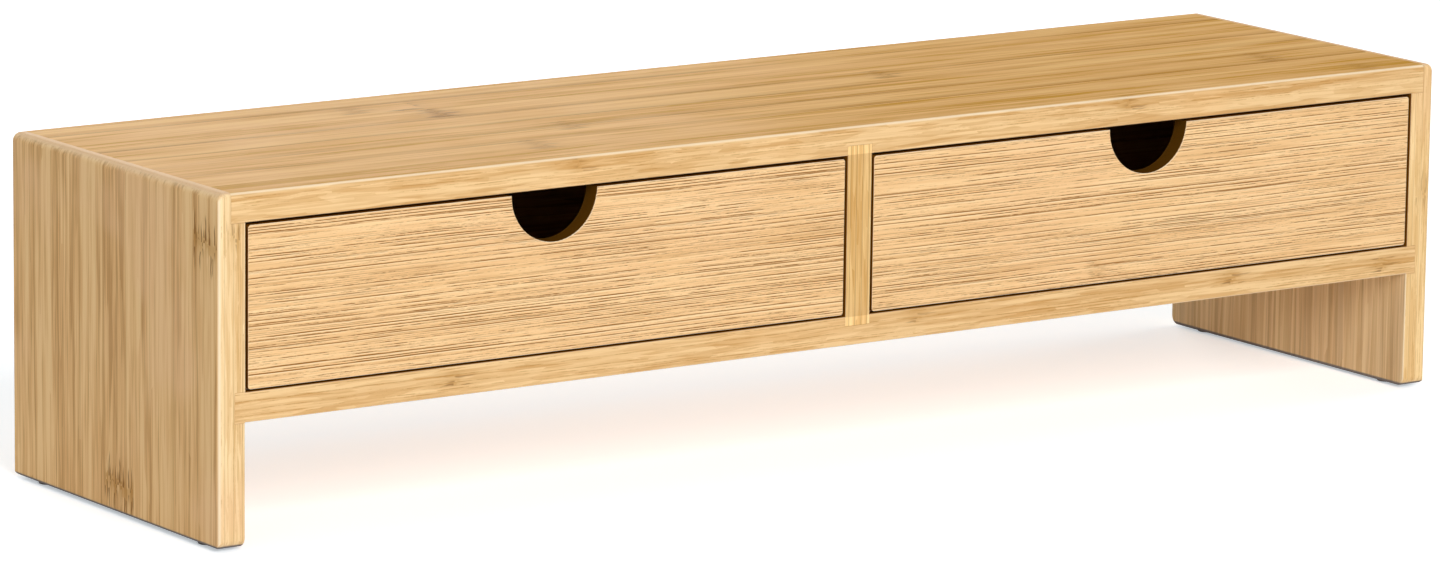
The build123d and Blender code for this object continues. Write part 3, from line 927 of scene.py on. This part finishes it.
def dress_carcass():
    """The glued carcass: deck, sides, shelf, divider and back."""
    broad = {
        "strip_width": 0.0205,
        "strips": 0.40,
        "reeds": 0.45,
        "fine_reeds": 0.38,
        "bands": 0.85,
        "lines": 0.45,
        "hairs": 0.3,
        "blush": 0.15,
        "streaks": 0.75,
        "streak_width": 0.0085,
        "knuckle_light": 0.3,
        "knuckle_stroke": 0.72,
        "joints": 0.05,
        "drift": 0.0005,
        "inner_walls": 1.0,
        "deep": DEEP_DECK_WOOD,
        "tint": (1.0, 0.905, 0.70),
        "narrow_tint": (0.93, 0.885, 0.845),
        "edge_dashes": 0.5,
        "bump": 0.10,
        "coat": 0.09,
    }
    upright = {
        "strip_width": 0.018,
        "strips": 0.25,
        "reeds": 0.45,
        "fine_reeds": 0.60,
        "bands": 0.55,
        "lines": 0.65,
        "hairs": 0.5,
        "streaks": 0.25,
        "drift": 0.0004,
        "inner_walls": 1.0,
        # Painted contact shadow at the legs' lower ends
        "foot_shadow": 0.9,
        # Painted light on the legs' inner faces under the shelf
        "painted_light_below": 0.45,
        "narrow_swing": 0.7,
        "edge_dashes": 0.35,
        "coat": 0.10,
    }
    deck = bamboo("deck_bamboo", GRAIN_X_FACE_Z, 11.0, knuckles=DECK_KNUCKLES, knuckle_shade=0.7, **broad)
    shelf = bamboo("shelf_bamboo", GRAIN_X_FACE_Z, 27.0, knuckles=SHELF_KNUCKLES, **broad)
    dress("top_panel", deck)
    dress("drawer_shelf", shelf)
    for end, seed, knuckles, edge_tint in (
        ("left", 5.0, LEFT_SIDE_KNUCKLES, (1.04, 1.08, 1.15)),
        ("right", 19.0, RIGHT_SIDE_KNUCKLES, (1.02, 1.02, 0.98)),
    ):
        side = bamboo(
            f"{end}_side_bamboo", GRAIN_Z_FACE_X, seed, knuckles=knuckles, narrow_tint=edge_tint, **upright
        )
        dress(f"{end}_side_panel", side)
    divider = bamboo(
        "divider_bamboo",
        GRAIN_Z_FACE_X,
        41.0,
        layer=0.003,
        joints=0.6,
        inner_walls=1.0,
        narrow_tint=(1.12, 1.09, 0.93),
    )
    back = bamboo("back_plywood", GRAIN_X_FACE_Y, 53.0, strip_width=0.024, knuckles=BACK_KNUCKLES, coat=0.08)
    dress("centre_divider", divider)
    dress("back_panel", back)


def dress_drawers(steel):
    """Each drawer: its streaked front, plain box, plywood bottom and brads."""
    sawn = {
        "strip_width": 0.016,
        "strips": 0.10,
        "reeds": 0.10,
        "fine_reeds": 0.25,
        "bands": 0.25,
        "lines": 0.35,
        "hairs": 0.4,
        "blush": 0.1,
        "streaks": 0.1,
        "joints": 0.08,
        "knuckles": FRONT_KNUCKLES,
        "knuckle_size": 0.6,
        "density": 0.72,
        "drift": 0.00025,
        # A strong painted highlight on the fronts' rounded edges
        "rounding": 0.9,
        "coat": 0.10,
        # Dark cut edges: scorch and painted shade
        "cut_wall_shade": 1.0,
        "tint": (1.08, 1.10, 1.18),
    }
    box = {"coat": 0.06, "streaks": 0.3, "blush": 0.08, "tint": (1.0, 1.06, 1.12)}
    for name, seed, dashes in (("left", 60.0, 1.0), ("right", 75.0, 0.95)):
        front = bamboo(f"{name}_drawer_front_bamboo", GRAIN_X_FACE_Y, seed, dashes=dashes, **sawn)
        box_side = bamboo(f"{name}_drawer_side_bamboo", GRAIN_Y_FACE_X, seed + 3.0, **box)
        box_back = bamboo(f"{name}_drawer_back_bamboo", GRAIN_X_FACE_Y, seed + 5.0, **box)
        bottom = bamboo(f"{name}_drawer_plywood", GRAIN_X_FACE_Z, seed + 7.0, strip_width=0.024, **box)
        dress(f"{name}_drawer_front", front)
        dress(f"{name}_drawer_left_side", box_side)
        dress(f"{name}_drawer_right_side", box_side)
        dress(f"{name}_drawer_back", box_back)
        dress(f"{name}_drawer_bottom", bottom)
        dress(f"{name}_drawer_brads", steel)


def turned_mesh(name, profile, segments):
    """A closed mesh turned about Z from points of radius and height, from the axis to the axis."""
    mesh = bpy.data.meshes.new(name)
    form = bmesh.new()
    rings = []
    for radius, height in profile:
        if radius == 0:
            rings.append([form.verts.new((0.0, 0.0, height))])
            continue
        turns = [2 * math.pi * step / segments for step in range(segments)]
        rings.append([form.verts.new((radius * math.cos(a), radius * math.sin(a), height)) for a in turns])
    for lower, upper in zip(rings, rings[1:]):
        for step in range(segments):
            ahead = (step + 1) % segments
            corners = [lower[step % len(lower)], lower[ahead % len(lower)]]
            corners += [upper[ahead % len(upper)], upper[step % len(upper)]]
            form.faces.new(list(dict.fromkeys(corners)))
    bmesh.ops.recalc_face_normals(form, faces=form.faces)
    form.to_mesh(mesh)
    form.free()
    mesh.shade_smooth()
    mesh.set_sharp_from_angle(angle=math.radians(35))
    return mesh


def foot_pads(material):
    """Rubber pads with a rounded rim and two grip grooves underneath, one for each pad of the frame."""
    low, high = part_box("front_left_pad")
    radius = (high.x - low.x) / 2
    height = high.z - low.z
    rim = height * PAD_RIM_SHARE
    groove = height * PAD_GROOVE_SHARE
    profile = [(0.0, 0.0)]
    for start in PAD_GROOVE_STARTS:
        profile += [
            (radius * start, 0.0),
            (radius * (start + 0.04), groove),
            (radius * (start + 0.10), groove),
            (radius * (start + 0.14), 0.0),
        ]
    for step in range(PAD_RIM_STEPS):
        turn = math.radians(-90 + 22.5 * step)
        profile.append((radius - rim + rim * math.cos(turn), rim + rim * math.sin(turn)))
    profile += [(radius, height), (0.0, height)]
    mesh = turned_mesh("foot_pad", profile, PAD_SEGMENTS)
    mesh.materials.append(material)
    for end in ("front", "rear"):
        for side in ("left", "right"):
            node = f"{end}_{side}_pad"
            low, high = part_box(node)
            pad = bpy.data.objects.new(f"{end}_{side}_rubber_foot", mesh)
            bpy.context.scene.collection.objects.link(pad)
            pad.location = ((low.x + high.x) / 2, (low.y + high.y) / 2, low.z)
            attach(pad, "carcass")
            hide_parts(node)


def backdrop_floor():
    """A pale floor that keeps the shadow, shown as white as the world behind it."""
    form = bmesh.new()
    bmesh.ops.create_circle(form, cap_ends=True, segments=96, radius=FLOOR_RADIUS)
    mesh = bpy.data.meshes.new("studio_floor")
    form.to_mesh(mesh)
    form.free()
    floor = bpy.data.objects.new("studio_floor", mesh)
    bpy.context.scene.collection.objects.link(floor)
    floor.location.z = -FLOOR_DROP
    material, tree, shader = new_material("studio_floor_white")
    shader.inputs["Base Color"].default_value = FLOOR_ALBEDO
    shader.inputs["Roughness"].default_value = 0.9
    shader.inputs["Specular IOR Level"].default_value = 0.0
    shader.inputs["Emission Color"].default_value = FLOOR_GLOW
    path = tree.nodes.new("ShaderNodeLightPath").outputs
    seen = compute(tree, "MAXIMUM", path["Is Camera Ray"], path["Is Glossy Ray"])
    seen = compute(tree, "MAXIMUM", seen, path["Is Transmission Ray"])
    tree.links.new(compute(tree, "MULTIPLY", seen, FLOOR_GLOW_STRENGTH), shader.inputs["Emission Strength"])
    mesh.materials.append(material)


def soft_world(level):
    """An even grey light from all round, white where it is seen directly or in a reflection."""
    world = bpy.data.worlds.new("studio_world")
    bpy.context.scene.world = world
    world.use_nodes = True
    tree = world.node_tree
    tree.nodes.clear()
    path = tree.nodes.new("ShaderNodeLightPath").outputs
    seen = compute(tree, "MAXIMUM", path["Is Camera Ray"], path["Is Glossy Ray"])
    seen = compute(tree, "MAXIMUM", seen, path["Is Transmission Ray"])
    strength = remap(tree, seen, 0.0, 1.0, level, 1.0)
    light = add_node(tree, "ShaderNodeBackground", {"Color": (1.0, 1.0, 1.0, 1.0), "Strength": strength})
    out = tree.nodes.new("ShaderNodeOutputWorld")
    tree.links.new(light.outputs[0], out.inputs["Surface"])


def soft_box(name, place, target, size, power):
    """A square area light aimed at a point."""
    light = bpy.data.lights.new(name, "AREA")
    light.shape = "SQUARE"
    light.size = size
    light.energy = power
    lamp = bpy.data.objects.new(name, light)
    bpy.context.scene.collection.objects.link(lamp)
    lamp.location = place
    lamp.visible_camera = False
    aim = Vector(target) - Vector(place)
    lamp.rotation_mode = "QUATERNION"
    lamp.rotation_quaternion = aim.to_track_quat("-Z", "Y")


def place_camera():
    """The camera, at the photograph's angle and distance."""
    data = bpy.data.cameras.new("studio_camera")
    data.sensor_width = SENSOR_WIDTH
    data.lens = CAMERA_LENS
    data.clip_start = 0.05
    data.clip_end = 100.0
    camera = bpy.data.objects.new("studio_camera", data)
    bpy.context.scene.collection.objects.link(camera)
    turn = Matrix.Rotation(math.radians(-CAMERA_YAW), 4, "Z")
    tilt = Matrix.Rotation(math.radians(90.0 - CAMERA_PITCH), 4, "X")
    roll = Matrix.Rotation(math.radians(CAMERA_ROLL), 4, "Z")
    camera.matrix_world = Matrix.Translation(CAMERA_POSITION) @ turn @ tilt @ roll
    bpy.context.scene.camera = camera


place_camera()
dress_carcass()
dress_drawers(brad_steel())
foot_pads(rubber())
backdrop_floor()
soft_world(WORLD_LEVEL)
for lamp_name, lamp_place, lamp_target, lamp_size, lamp_watts in LAMPS:
    soft_box(lamp_name, lamp_place, lamp_target, lamp_size, lamp_watts)
bpy.context.scene.view_settings.view_transform = "Standard"
